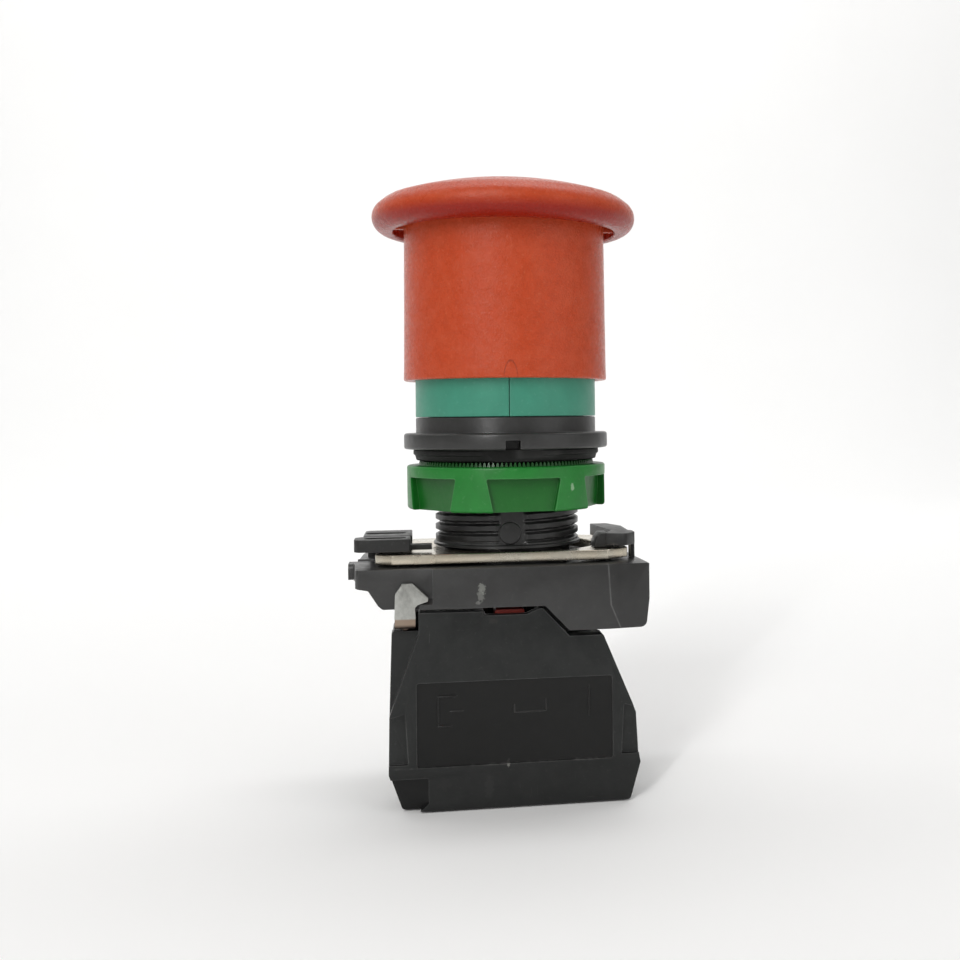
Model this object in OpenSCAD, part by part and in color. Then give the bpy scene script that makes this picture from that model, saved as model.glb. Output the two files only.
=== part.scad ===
// Panel-mount mushroom push button: operator head, fixing collar and one
// contact block. Millimetres, +Z towards the mushroom head, -Y towards the
// front, origin at the centre of the gasket's lower face (the panel seat).

/* [Mushroom head] */
// Largest diameter of the rolled rim
head_d = 40.3; // [40:0.1:41]
// Rise of the crown above the rim's shoulder
crown_h = 2.6; // [1.5:0.1:3.5]
// Outer diameter of the skirt at its lower edge
skirt_d = 31.1; // [30.8:0.1:31.4]
// Height of the skirt's lower edge above the panel seat
skirt_z = 12.06; // [11.8:0.02:12.4]
// Radial ribs in the groove under the rim
rib_count = 12; // [6:1:24]

/* [Operator body] */
// Outer diameter of the threaded neck
neck_d = 21.9; // [21.7:0.1:22]
// Pitch of the neck's thread
pitch = 1.5; // [1.4:0.1:1.6]
// Outer diameter of the bezel flange
bezel_d = 31.2; // [30.8:0.1:31.6]
// Thickness of the gasket
gasket_t = 1.7; // [1.7:0.1:1.7]
// Full travel of the button
travel = 6; // [4:0.5:6]

/* [Fixing nut] */
// Outer diameter of the fixing nut
nut_d = 30.4; // [30:0.1:30.4]
// Height of the nut without its serrated ring
nut_h = 6.6; // [6:0.1:6.6]
// Number of grip lobes
lobes = 6; // [6:1:8]

/* [Fixing collar] */
// Depth of the collar, front to back
collar_w = 30; // [30:0.5:31]
// Thickness of the steel lock plate
plate_t = 1.4; // [1:0.1:1.6]

/* [Contact block] */
// Thickness of the contact block, front to back
block_t = 10; // [10:0.1:10.2]
// Depth of the label recess
label_d = 0.3; // [0.2:0.05:0.4]
// Radius of the terminal screw heads
screw_r = 2.6; // [2.2:0.1:2.6]

/* [Hidden] */
$fn = 64;
neck_r = neck_d / 2;
bore_r = 8.6;             // bore of the neck, around the pusher's foot
groove_r = 9.6;           // lock groove in the neck
y0 = -collar_w / 2;       // front face of collar and block
y1 = y0 + block_t;        // rear face of the block
yc = (y0 + y1) / 2;       // middle of the block
slack = 0.3;

function arc(cx, cy, r, a0, a1, n) =
  [for (i = [0:n]) let (a = a0 + (a1 - a0) * i / n) [cx + r * cos(a), cy + r * sin(a)]];

// extrude a profile given in X,Z along Y, from ya to yb
module xz(pts, ya, yb) { translate([0, yb, 0]) rotate([90, 0, 0]) linear_extrude(yb - ya) polygon(pts); }
module xy(pts, za, zb) { translate([0, 0, za]) linear_extrude(zb - za) polygon(pts); }
// box between two corners
module bx(a, b) { translate(a) cube(b - a); }

// round-wire coil, swept with eight sides
module coil(r, wire, z0, h, turns, seg = 12) {
  n = round(turns * seg); s = 6;
  pts = [for (i = [0:n]) let (t = i / n, a = 360 * turns * t, zz = z0 + wire + (h - 2 * wire) * t)
    for (j = [0:s - 1]) let (b = 360 * j / s, rr = r + wire * cos(b))
      [rr * cos(a), rr * sin(a), zz + wire * sin(b)]];
  faces = concat(
    [[for (j = [0:s - 1]) j]],
    [for (i = [0:n - 1]) for (j = [0:s - 1]) let (k = (j + 1) % s)
      [i * s + j, (i + 1) * s + j, (i + 1) * s + k]],
    [for (i = [0:n - 1]) for (j = [0:s - 1]) let (k = (j + 1) % s)
      [i * s + j, (i + 1) * s + k, i * s + k]],
    [[for (j = [s - 1:-1:0]) n * s + j]]);
  polyhedron(pts, faces, convexity = 10);
}

// Mushroom cap: domed crown, rolled rim, open groove under the rim, skirt
module mushroom_cap() {
  R = head_d / 2; sr = skirt_d / 2; cr = (17 * 17 + crown_h * crown_h) / (2 * crown_h);
  color([0.73, 0.34, 0.24]) difference() {
    union() {
      rotate_extrude() polygon(concat(
        [[4, 38.4], [4, 30], [9.6, 30], [9.6, 37], [14.1, 37], [14.1, skirt_z], [sr - 0.15, skirt_z],
         [sr, skirt_z + 0.2], [sr - 0.22, 35.6], [sr + 0.1, 36.6], [16.3, 37.2], [17.1, 36.6]],
        arc(R - 2.35, 36.95, 2.35, -118, 48, 14),
        [[18.0, 39.55]],
        [for (i = [0:8]) let (r = 17 * (1 - i / 8)) [r, 40.05 + sqrt(cr * cr - r * r) - (cr - crown_h)]],
        [[0, 38.4]]));
      for (i = [0:rib_count - 1]) rotate([0, 0, 360 * i / rib_count])
        bx([15.1, -0.5, 35.7], [17.6, 0.5, 37.6]);
    }
  }
}

// Stem: guide shaft, detent grooves, clip groove, pusher foot
module pusher_stem() {
  color([0.86, 0.85, 0.80]) rotate_extrude() polygon([
    [0, 38.2], [3.5, 38.2], [3.98, 37.7], [3.98, 30], [5.2, 30], [5.2, 28.8], [3.98, 28.8],
    [3.98, 16.4], [3.4, 15.9], [3.4, 14.9], [3.98, 14.4], [3.98, 10.4], [3.4, 9.9], [3.4, 8.9], [3.98, 8.6],
    [3.98, -5.05], [3.4, -5.05], [3.4, -5.75], [3.98, -5.75], [3.98, -8.4], [5.6, -9.2], [6.4, -10.5],
    [8.3, -10.7], [8.3, -12.3], [8.1, -12.5], [0, -12.5]]);
}

// Steel retaining clip under the guide, open at one side
module stem_clip() {
  color([0.7, 0.7, 0.7]) difference() {
    translate([0, 0, -5.7]) cylinder(h = 0.6, r = 5.6);
    translate([0, 0, -6]) cylinder(h = 1.2, r = 3.42);
    bx([-2.4, 0, -6], [2.4, 6, -5]);
  }
}

// Lip seal between cap boss and stem guide
module stem_seal() {
  color([0.15, 0.15, 0.16]) rotate_extrude() polygon([[11.95, 22], [13.4, 22], [13.75, 22.4], [13.75, 23.0],
    [12.6, 23.4], [10.0, 23.4], [9.7, 23.1], [9.7, 22.02], [11.95, 22.02]]);
}

module return_spring() { color([0.72, 0.72, 0.70]) coil(7.8, 0.6, -3.18, 33.14, 7, 14); }

// Wire detent: two legs beside the stem, joined at the back
module detent_spring() {
  color([0.7, 0.7, 0.68]) {
    translate([0, 0, 9.4]) difference() {
      union() {
        for (s = [-1, 1]) translate([s * 3.85, -4.6, 0]) rotate([-90, 0, 0]) cylinder(h = 9.2, r = 0.4);
        translate([-3.85, 4.6, 0]) rotate([0, 90, 0]) cylinder(h = 7.7, r = 0.4);
      }
      bx([-9, -9, -2], [-4.9, 9, 2]);
    }
  }
}

// One half of the coloured indicator sleeve under the skirt
module ring_half(s) {
  difference() {
    rotate_extrude() polygon([[11.98, 6.5], [13.7, 6.5], [13.8, 6.6], [13.8, 21.7], [13.6, 21.98], [11.98, 21.98]]);
    bx([s < 0 ? -0.06 : -20, -20, 0], [s < 0 ? 20 : 0.06, 20, 30]);
  }
}
module indicator_ring_left() { color([0.30, 0.56, 0.47]) ring_half(-1); }
module indicator_ring_right() { color([0.30, 0.56, 0.47]) ring_half(1); }

// Bezel flange, inner guide and threaded neck with lock groove
module head_body() {
  threads = [for (i = [0:6]) let (z = -0.95 - i * pitch)
    each [[neck_r, z], [neck_r - 0.75, z - 0.5 * pitch], [neck_r, z - 0.9 * pitch]]];
  color([0.26, 0.26, 0.255]) difference() {
    union() {
      difference() {
        rotate_extrude() polygon(concat(
          [[11.9, 21.98], [11.9, 6.45], [13.55, 6.45], [13.75, 6.25], [13.75, 4.1], [15.1, 4.1],
           [bezel_d / 2, 3.7], [bezel_d / 2, 2.1], [15.1, gasket_t], [neck_r, gasket_t]],
          threads,
          [[neck_r, -12.1], [11.25, -12.35], [11.25, -12.8], [groove_r, -12.82], [groove_r, -14.75],
           [neck_r, -14.77], [neck_r, -18.1], [10.5, -18.5], [bore_r, -18.5], [bore_r, -4.7],
           [4.15, -4.7], [4.15, 8.98], [6.4, 8.98], [6.4, -3.2], [9.6, -3.2], [9.6, 21.98]]));
        // smooth channel down the front of the neck
        bx([-1.85, -12, -12.2], [1.85, -10.35, -0.8]);
        // notch in the bezel flange at the front
        bx([-1.2, -16, 1.6], [0.95, -13.7, 3.1]);
      }
      translate([0, -10.1, -10.6]) rotate([90, 0, 0]) cylinder(h = 0.75, r = 1.7);
    }
  }
}

module panel_gasket() {
  color([0.16, 0.16, 0.15]) difference() {
    rotate_extrude() polygon([[10.96, 0], [14.0, 0], [14.2, 0.2], [14.2, 1.4], [14.0, 1.69], [10.96, 1.69]]);
    translate([-8, -16, -1]) cube([16, 2.58, 4]);
  }
}

// Nut: serrated ring on top, plain band, grip lobes with tapered flats between
module fixing_nut() {
  zt = -0.7; zb = zt - nut_h; R = nut_d / 2;
  color([0.24, 0.49, 0.27]) difference() {
    union() {
      translate([0, 0, zb]) rotate_extrude() polygon([[11.08, 0], [R - 0.4, 0], [R, 0.4], [R, nut_h - 0.3], [R - 0.3, nut_h], [11.08, nut_h]]);
      translate([0, 0, zt - 0.1]) difference() { cylinder(h = 0.5, r = 13.4); translate([0, 0, -1]) cylinder(h = 3, r = 12.0); }
    }
    for (i = [0:lobes - 1]) rotate([0, 0, -24 + 180 / lobes + 360 * i / lobes])
      translate([0, -13.2, 0]) rotate([90, 0, 0]) linear_extrude(4)
        polygon([[-5.45, zt - 1.75], [5.45, zt - 1.75], [4.3, zb - 1], [-4.3, zb - 1]]);
  }
}

// Plan outline of the collar
collar_pts = [[-19.6, -15], [18.9, -15], [19.5, -14.4], [18.9, -3.6], [18.9, 3.6], [19.5, 14.4], [18.9, 15],
  [-19.6, 15], [-21.6, 13], [-22.2, 6.8], [-22.4, 1.1], [-23.2, -0.8], [-23.2, -3.8], [-22.7, -6.7], [-22.4, -13.4], [-21.2, -14.7]];

// Fixing collar: body with right foot, operator hole, plunger windows and
// bays for three contact blocks side by side
module collar_frame() {
  color([0.27, 0.27, 0.265]) difference() {
    intersection() {
      xz([[-24, -15], [20.2, -15], [19.0, -24.3], [7.8, -24.3], [4.3, -20.65], [-18.6, -20.6], [-19.2, -20.1], [-20.6, -17.9], [-24, -17.3]], -16, 16);
      xy(collar_pts, -26, -14);
    }
    // hole for the operator's neck, then a floor with plunger windows
    translate([0, 0, -19.0]) cylinder(h = 6, r = 11.3);
    for (y = [-9.8, 0, 9.8]) bx([-3.4, y - 3.6, -22], [2.3, y + (y < 0 ? 4.4 : 3.6), -18]);
    // recess in front of the latch, with a sloping catch under the barb
    bx([-24, -16, -19.3], [-11.6, -13.9, -14]);
    bx([-24, -16, -22], [-13.45, -13.9, -19]);
    xz([[-13.6, -19.0], [-11.6, -19.0], [-11.6, -19.7], [-13.6, -20.15]], -16, -13.9);
    // the two empty bays have the same latch recess at the left
    for (y = [0, 10]) bx([-19.8, y - 2.8, -22], [-14.2, y + 2.8, -19.4]);
    // seat of each block bay, set a little into the underside
    for (y = [-10, 0, 10]) bx([-13.2, y - 4.8, -22], [3.6, y + 4.8, -20.4]);
    // slot for the lock tab and pocket for its spring
    bx([-24, -4.4, -17.9], [-12.2, 0.4, -13]);
    // hollow under the right foot, open at the bottom
    for (y = [-9.8, 0, 9.8]) bx([11, y - 3.9, -26], [17, y + 3.9, -20.8]);
    // face right of the crease line leans back a little, front and rear
    for (m = [0, 1]) mirror([0, m, 0]) translate([0, 0, -26]) linear_extrude(12)
      polygon([[13.9, -15.01], [20.5, -14.08], [20.5, -16], [13.9, -16]]);
    // shallow mould relief on the top face at the right
    bx([12.2, -6, -15.6], [16.8, 6, -13]);
  }
}

// Guide on top of the collar, left part: two lugs with oblong recesses,
// thin rails towards the neck, post down to the collar behind the plate
module guide_lugs_left() {
  color([0.29, 0.29, 0.28]) difference() {
    union() {
      xy([[-21.4, -11], [-14.7, -11], [-14.7, -6], [-21.4, -6], [-22.1, -6.9], [-22.1, -10.1]], -12.8, -11.0);
      xy([[-21.0, -5.5], [-15.6, -5.5], [-15.6, 4], [-21.0, 4], [-21.6, 3.2], [-21.6, -4.7]], -12.8, -11.0);
      bx([-19.5, -6.2, -12.8], [-16.4, -5.3, -11.6]);
      bx([-15.0, -8.9, -12.8], [-11.6, -8.1, -12.05]);
      bx([-15.0, -7.3, -12.8], [-11.6, -6.6, -12.05]);
      bx([-21.3, 3.2, -14.99], [-19.9, 8.4, -12.8]);
      bx([-21.3, 3.2, -12.8], [-16.4, 8.4, -11.6]);
    }
    for (p = [[-18.3, -8.6], [-18.4, -0.8]]) translate([p[0], p[1], -11.8]) {
      bx([-1.9, -1.1, 0], [1.9, 1.1, 2]);
      for (s = [-1, 1]) translate([1.9 * s, 0, 0]) cylinder(h = 2, r = 1.1);
    }
  }
}

// Right ear over the plate's right end, with its feet on the collar
module guide_ear_right() {
  color([0.29, 0.29, 0.28]) {
    xy([[13.9, -9.4], [16.9, -10.6], [18.6, -8.2], [18.6, -5.6], [18.1, -5.2], [18.25, 2.3], [16.6, 7.4], [13.9, 7.2], [15.6, -4.5]], -12.8, -11.0);
    bx([18.0, -8.0, -14.99], [18.6, -5.8, -12]);
    bx([16.0, 6.6, -14.99], [17.4, 9.8, -11.4]);
  }
}

// Sliding steel plate with keyhole: narrow part in the neck's groove,
// round part lets the neck through when the plate is pulled to the left
module lock_plate() {
  color([0.66, 0.63, 0.56]) difference() {
    xy([[-17.3, -12.0], [13.9, -12.0], [17.4, -8.9], [17.4, 1.0], [15.6, 6.6], [14.6, 11.0], [12.6, 12.0], [-15.8, 12.0], [-17.0, 10.8],
        [-17.0, 1.5], [-19.7, 0.5], [-19.7, -10.0]], -14.62, -14.62 + plate_t);
    translate([0, 0, -15]) cylinder(h = 3, r = 9.9);
    translate([2.5, 0, -15]) cylinder(h = 3, r = 11.15);
  }
}

// Thumb tab under the plate, in the collar's left slot
module lock_tab() {
  color([0.30, 0.30, 0.29]) {
    bx([-23.9, -4.05, -17.5], [-17.9, 0.05, -15.25]);
    bx([-19.4, -3.6, -15.3], [-17.9, -0.4, -14.64]);
  }
}

// Spring behind the lock tab
module lock_spring() {
  color([0.7, 0.7, 0.68]) translate([-17.85, -2.0, -16.35]) rotate([0, 90, 0]) coil(1.1, 0.22, 0, 5.6, 7, 10);
}

// Stamped latch hook, bent back at its foot into an eye round the pivot pin
module latch_hook() {
  color([0.62, 0.62, 0.60]) difference() {
    union() {
      xz([[-16.73, -18.35], [-15.72, -16.85], [-14.29, -16.85], [-12.12, -18.95], [-12.19, -19.43], [-13.59, -19.88],
          [-13.98, -20.26], [-13.9, -21.76], [-13.98, -23.2], [-16.75, -23.2], [-16.83, -21.64]], -15.25, -14.5);
      bx([-16.5, -14.55, -23.3], [-14.2, -11.2, -22.6]);
      translate([-15.35, -11.2, -22.9]) rotate([90, 0, 0]) cylinder(h = 3.3, r = 0.75);
    }
    translate([-15.35, -11, -22.9]) rotate([90, 0, 0]) cylinder(h = 1.6, r = 0.45);
  }
}
module latch_pin() {
  color([0.6, 0.6, 0.6]) translate([-15.35, -7.1, -22.9]) rotate([90, 0, 0]) cylinder(h = 5.3, r = 0.4);
}

// Front outline of the contact block, its full-width outline behind the
// front plate, and the slightly smaller outline of the rear shell
block_right = [[-4.6, -21.18], [-4.5, -21.75], [1.6, -21.75], [3.5, -20.98], [4.0, -21.0], [7.75, -25.1], [12.7, -25.1],
  [17.45, -36.6], [17.75, -42.6], [17.95, -43.7], [16.4, -49.07], [-12.1, -49.1], [-14.1, -49.0], [-16.1, -49.0],
  [-17.95, -43.7], [-17.8, -35.6]];
block_pts = concat([[-13.62, -21.05]], block_right, [[-13.87, -24.7], [-13.62, -24.2]]);
back_pts = concat([[-13.62, -21.05]], block_right, [[-17.4, -23.8], [-13.62, -23.8]]);
case_pts = [[-13.6, -21.2], [-4.6, -21.3], [-4.5, -22.0], [1.7, -22.0], [3.4, -21.2], [4.0, -21.2], [7.2, -25.3], [12.3, -25.35],
  [17.0, -36.7], [17.3, -42.6], [17.3, -43.7], [16.0, -48.9], [-16.0, -48.9],
  [-17.5, -43.7], [-17.3, -23.8], [-13.6, -23.8]];
tx = 9.7;                 // terminal screws, left and right of the middle
tz = -43.6;               // underside of the terminal plates

// inner hollow of the block, between ya and yb
module block_room(ya, yb) {
  // plunger shaft and bridge room
  bx([-4.2, ya, -40.6], [3.4, yb, -20]);
  bx([-8.6, ya, -40.6], [8.6, yb, -30.9]);
  // spring pocket under the plunger
  bx([-3.4, ya, -47.4], [2.6, yb, -40]);
  for (s = [-1, 1]) {
    // fixed contact feet and legs
    xz([[s * 3.0, -29.8], [s * 12.5, -29.8], [s * 12.5, -31.0], [s * 3.0, -31.0]], ya, yb);
    xz([[s * 8.2, -30.9], [s * 12.5, -30.9], [s * 12.5, -42.8], [s * 8.2, -42.8]], ya, yb);
    // terminal room and wire entry
    xz([[s * 6.4, tz + 1.3], [s * 12.95, tz + 1.3], [s * 12.95, tz], [s * 18.9, tz], [s * 18.9, -48.3], [s * 6.4, -48.3]], ya, yb);
    // screwdriver access from below
    translate([s * tx, yc, -50]) cylinder(h = 5, r = screw_r + 0.4);
  }
}

// Front shell of the block: face with label recess, wire notch, side pockets
module block_cover() {
  color([0.20, 0.20, 0.20]) difference() {
    union() {
      xz(block_pts, y0, y0 + 1.65);
      xz(back_pts, y0 + 1.6, y0 + 4.2);
    }
    // label recess with a plain raised contact symbol
    difference() {
      bx([-14.0, y0 - 1, -42.9], [13.9, y0 + label_d, -31.0]);
      for (p = [[-11.4, -36.2, 2.6, 0.35], [-11.4, -33.6, 0.35, 5.6], [8.6, -36.2, 2.6, 0.35], [11.0, -33.6, 0.35, 5.6],
                [-2.2, -34.6, 4.4, 0.35]])
        bx([p[0], y0 + label_d - 0.16, p[1] - p[3]], [p[0] + p[2], y0 + label_d + 1, p[1]]);
    }
    // tapered pockets at the sides
    for (s = [-1, 1]) xz([[s * 15.6, -35.2], [s * 17.0, -35.6], [s * 19, -36], [s * 19, -42.4], [s * 15.2, -42.4]], y0 - 1, y0 + 0.7);
    // wire notch at the lower left corner
    xz([[-18.5, -44.4], [-12.4, -44.4], [-12.4, -48.0], [-14.1, -49.5], [-18.5, -49.5]], y0 - 1, y0 + 0.9);
    block_room(y0 + 1.8, y0 + 5);
  }
}

// Rear shell of the block, with the boss that holds the latch pin
module block_case() {
  color([0.19, 0.19, 0.19]) difference() {
    union() {
      xz(case_pts, y0 + 4.22, y1);
      bx([-16.4, y1 - 4.45, -24.2], [-13.4, y1 - 0.4, -21.7]);
    }
    block_room(y0 + 4, y1 - 1.6);
    // deeper shaft for the plunger's finger
    bx([-3.5, y0 + 4, -29.5], [2.4, y1 - 0.6, -20]);
    translate([-15.35, y1 - 2, -22.9]) rotate([90, 0, 0]) cylinder(h = 9, r = 0.4);
  }
}

// Red plunger: finger up into the neck, body in the block, foot for its spring
module block_plunger() {
  color([0.62, 0.13, 0.10]) difference() {
    union() {
      bx([-2.5, -7.6, -22.5], [1.5, -6.0, -12.8]);
      bx([-2.7, -12.4, -30.2], [1.5, -7.0, -21.4]);
      bx([-2.7, -12.4, -38.2], [1.5, -7.6, -30]);
      // guide boss for the spring below
      translate([-0.6, yc, -39.2]) cylinder(h = 1.4, r = 1.2);
    }
    // window for the contact bridge and its spring
    bx([-4, -11.3, -36.4], [3, -8.7, -31.6]);
  }
}

module contact_bridge() {
  color([0.75, 0.52, 0.30]) bx([-7.8, -11.1, -33.2], [7.0, -8.9, -32.5]);
}
module moving_contact_tips() {
  color([0.78, 0.78, 0.76]) for (x = [-6.7, 5.9]) translate([x, yc, -32.5]) cylinder(h = 0.95, r = 0.95);
}
module contact_spring() {
  color([0.7, 0.7, 0.68]) translate([-0.6, yc, -36.38]) coil(0.95, 0.15, 0, 3.16, 5, 10);
}
module plunger_spring() {
  color([0.7, 0.7, 0.68]) translate([-0.6, yc, -47.38]) coil(1.75, 0.22, 0, 9.1, 7, 12);
}

// Fixed contact: foot over the bridge, leg, terminal plate with screw hole
module fixed_contact(s) {
  difference() {
    union() {
      bx([s < 0 ? -12.2 : 4.7, -11.4, -30.9], [s < 0 ? -5.5 : 12.2, -8.6, -30.2]);
      bx([s < 0 ? -12.2 : 11.5, -11.4, tz + 0.3], [s < 0 ? -11.5 : 12.2, -8.6, -30.2]);
      bx([s < 0 ? -12.7 : 6.8, -12.4, tz], [s < 0 ? -6.8 : 12.7, -7.6, tz + 1]);
    }
    translate([s * tx, yc, tz - 1]) cylinder(h = 4, r = 1.62);
  }
}
module fixed_contact_left() { color([0.77, 0.62, 0.34]) fixed_contact(-1); }
module fixed_contact_right() { color([0.77, 0.62, 0.34]) fixed_contact(1); }
module fixed_contact_tips() {
  color([0.78, 0.78, 0.76]) for (x = [-6.7, 5.9]) translate([x, yc, -31.5]) cylinder(h = 0.6, r = 0.95);
}

// Saddle washer under the screw head, shown open
module terminal_clamp(s) {
  difference() {
    bx([s * tx - 2.7, -12.5, tz - 2.8], [s * tx + 2.7, -7.5, tz - 2.02]);
    translate([s * tx, yc, tz - 4]) cylinder(h = 3, r = 1.7);
  }
}
module terminal_clamp_left() { color([0.72, 0.70, 0.64]) terminal_clamp(-1); }
module terminal_clamp_right() { color([0.72, 0.70, 0.64]) terminal_clamp(1); }

// Terminal screw: cheese head facing down, crossed slot, shank upwards
module terminal_screw(s) {
  translate([s * tx, yc, tz]) difference() {
    union() {
      translate([0, 0, -4.8]) cylinder(h = 1.98, r = screw_r);
      translate([0, 0, -2.9]) cylinder(h = 5.3, r = 1.5);
    }
    bx([-0.35, -2.0, -6], [0.35, 2.0, -3.9]);
    bx([-2.0, -0.35, -6], [2.0, 0.35, -3.9]);
  }
}
module terminal_screw_left() { color([0.70, 0.69, 0.66]) terminal_screw(-1); }
module terminal_screw_right() { color([0.70, 0.69, 0.66]) terminal_screw(1); }

mushroom_cap();
pusher_stem();
stem_clip();
stem_seal();
return_spring();
detent_spring();
indicator_ring_left();
indicator_ring_right();
head_body();
panel_gasket();
fixing_nut();
collar_frame();
guide_lugs_left();
guide_ear_right();
lock_plate();
lock_tab();
lock_spring();
latch_hook();
latch_pin();
block_cover();
block_case();
block_plunger();
contact_bridge();
moving_contact_tips();
contact_spring();
plunger_spring();
fixed_contact_left();
fixed_contact_right();
fixed_contact_tips();
terminal_clamp_left();
terminal_clamp_right();
terminal_screw_left();
terminal_screw_right();
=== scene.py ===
import bpy, bmesh, math
from mathutils import Vector, Matrix


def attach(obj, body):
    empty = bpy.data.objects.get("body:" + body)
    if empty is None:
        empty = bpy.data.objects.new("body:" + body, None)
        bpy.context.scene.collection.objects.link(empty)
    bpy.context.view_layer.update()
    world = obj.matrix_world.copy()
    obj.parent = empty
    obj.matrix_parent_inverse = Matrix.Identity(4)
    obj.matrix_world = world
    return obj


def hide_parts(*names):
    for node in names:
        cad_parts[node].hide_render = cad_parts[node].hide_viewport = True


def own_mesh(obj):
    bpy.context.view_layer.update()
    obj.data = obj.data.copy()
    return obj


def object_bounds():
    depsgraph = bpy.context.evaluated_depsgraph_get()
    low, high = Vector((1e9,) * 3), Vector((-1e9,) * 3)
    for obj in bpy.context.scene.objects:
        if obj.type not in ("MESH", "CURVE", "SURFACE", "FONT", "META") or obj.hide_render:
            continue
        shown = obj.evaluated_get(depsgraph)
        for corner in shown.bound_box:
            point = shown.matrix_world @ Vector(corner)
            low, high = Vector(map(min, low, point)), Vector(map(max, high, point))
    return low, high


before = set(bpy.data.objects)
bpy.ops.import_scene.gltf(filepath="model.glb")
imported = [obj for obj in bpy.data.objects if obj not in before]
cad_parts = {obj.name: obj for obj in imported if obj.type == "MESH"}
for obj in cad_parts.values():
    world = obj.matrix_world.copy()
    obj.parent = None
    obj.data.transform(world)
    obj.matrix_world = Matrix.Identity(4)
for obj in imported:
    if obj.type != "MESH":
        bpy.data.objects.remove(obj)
CAD_BOX = [[float(c) for c in p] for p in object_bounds()]
MM = 0.001
COL = bpy.context.scene.collection
rad = math.radians

# ------------------------------------------------------------------ mesh kit (all in mm, scaled at the end)


def mesh_obj(name, verts, faces):
    me = bpy.data.meshes.new(name)
    me.from_pydata([tuple(v) for v in verts], [], faces)
    me.update()
    ob = bpy.data.objects.new(name, me)
    COL.objects.link(ob)
    bm = bmesh.new()
    bm.from_mesh(me)
    bmesh.ops.recalc_face_normals(bm, faces=bm.faces)
    bm.to_mesh(me)
    bm.free()
    return ob


def fillet(pts, r=0.0, seg=5):
    """Closed 2-D polygon with its corners rounded; a point may carry its own radius."""
    out, n = [], len(pts)
    for i, p in enumerate(pts):
        ri = p[2] if len(p) > 2 else r
        a, b, c = Vector(pts[i - 1][:2]), Vector(p[:2]), Vector(pts[(i + 1) % n][:2])
        u, v = a - b, c - b
        if ri <= 0 or u.length < 1e-6 or v.length < 1e-6:
            out.append((b.x, b.y))
            continue
        lu, lv = u.length, v.length
        u /= lu
        v /= lv
        ang = math.acos(max(-1, min(1, u.dot(v))))
        if ang > rad(176):
            out.append((b.x, b.y))
            continue
        t = min(ri / math.tan(ang / 2), min(lu, lv) * 0.47)
        r2 = t * math.tan(ang / 2)
        p0, p1 = b + u * t, b + v * t
        cen = b + (u + v).normalized() * (r2 / math.sin(ang / 2))
        a0 = math.atan2(p0.y - cen.y, p0.x - cen.x)
        a1 = math.atan2(p1.y - cen.y, p1.x - cen.x)
        d = (a1 - a0 + math.pi) % (2 * math.pi) - math.pi
        ns = max(2, math.ceil(seg * abs(d) / (math.pi / 2)))
        for k in range(ns + 1):
            a = a0 + d * k / ns
            out.append((cen.x + r2 * math.cos(a), cen.y + r2 * math.sin(a)))
    return out


def prism(pts, lo, hi, axis="y", name="prism"):
    n = len(pts)
    if axis == "y":
        v = [(p[0], lo, p[1]) for p in pts] + [(p[0], hi, p[1]) for p in pts]
    elif axis == "z":
        v = [(p[0], p[1], lo) for p in pts] + [(p[0], p[1], hi) for p in pts]
    else:
        v = [(lo, p[0], p[1]) for p in pts] + [(hi, p[0], p[1]) for p in pts]
    f = [list(range(n))[::-1], list(range(n, 2 * n))]
    f += [[i, (i + 1) % n, n + (i + 1) % n, n + i] for i in range(n)]
    return mesh_obj(name, v, f)


def box(a, b, name="box"):
    return prism([(a[0], a[2]), (b[0], a[2]), (b[0], b[2]), (a[0], b[2])], a[1], b[1], "y", name)


def rbox(a, b, r, axis="y", name="rbox"):
    i, j, k = {"y": (0, 2, 1), "z": (0, 1, 2), "x": (1, 2, 0)}[axis]
    pts = fillet([(a[i], a[j]), (b[i], a[j]), (b[i], b[j]), (a[i], b[j])], r)
    return prism(pts, a[k], b[k], axis, name)


def cyl(c, r, h, axis="z", n=48, name="cyl"):
    pts = [(r * math.cos(2 * math.pi * i / n), r * math.sin(2 * math.pi * i / n)) for i in range(n)]
    if axis == "z":
        return prism([(c[0] + p[0], c[1] + p[1]) for p in pts], c[2], c[2] + h, "z", name)
    if axis == "y":
        return prism([(c[0] + p[0], c[2] + p[1]) for p in pts], c[1], c[1] + h, "y", name)
    return prism([(c[1] + p[0], c[2] + p[1]) for p in pts], c[0], c[0] + h, "x", name)


def turn(ob, deg, axis="Z", at=(0, 0, 0)):
    m = Matrix.Translation(at) @ Matrix.Rotation(rad(deg), 4, axis) @ Matrix.Translation([-c for c in at])
    ob.data.transform(m)
    return ob


def lathe(profile, n=192, a0=0.0, a1=360.0, fn=None, name="lathe"):
    """Revolves a closed (r, z) profile. fn(r, z, angle) may move a point's radius."""
    full = abs(a1 - a0) >= 359.99
    cols = n if full else n + 1
    v, idx = [], []
    for i in range(cols):
        a = rad(a0 + (a1 - a0) * i / n)
        col = []
        for j, (r, z) in enumerate(profile):
            if r < 1e-6 and i > 0 and full:
                col.append(idx[0][j])
                continue
            rr = fn(r, z, a) if fn else r
            col.append(len(v))
            v.append((rr * math.sin(a), -rr * math.cos(a), z))
        idx.append(col)
    f, m = [], len(profile)
    for i in range(n):
        A, B = idx[i], idx[(i + 1) % cols]
        for j in range(m):
            k = (j + 1) % m
            q = []
            for t in (A[j], B[j], B[k], A[k]):
                if t not in q:
                    q.append(t)
            if len(q) >= 3:
                f.append(q)
    if not full:
        f.append(idx[0][::-1])
        f.append(idx[-1][:])
    return mesh_obj(name, v, f)


def join(obs, name="join"):
    bm = bmesh.new()
    for o in obs:
        bm.from_mesh(o.data)
    me = bpy.data.meshes.new(name)
    bm.to_mesh(me)
    bm.free()
    for o in obs:
        bpy.data.objects.remove(o)
    ob = bpy.data.objects.new(name, me)
    COL.objects.link(ob)
    return ob


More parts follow.
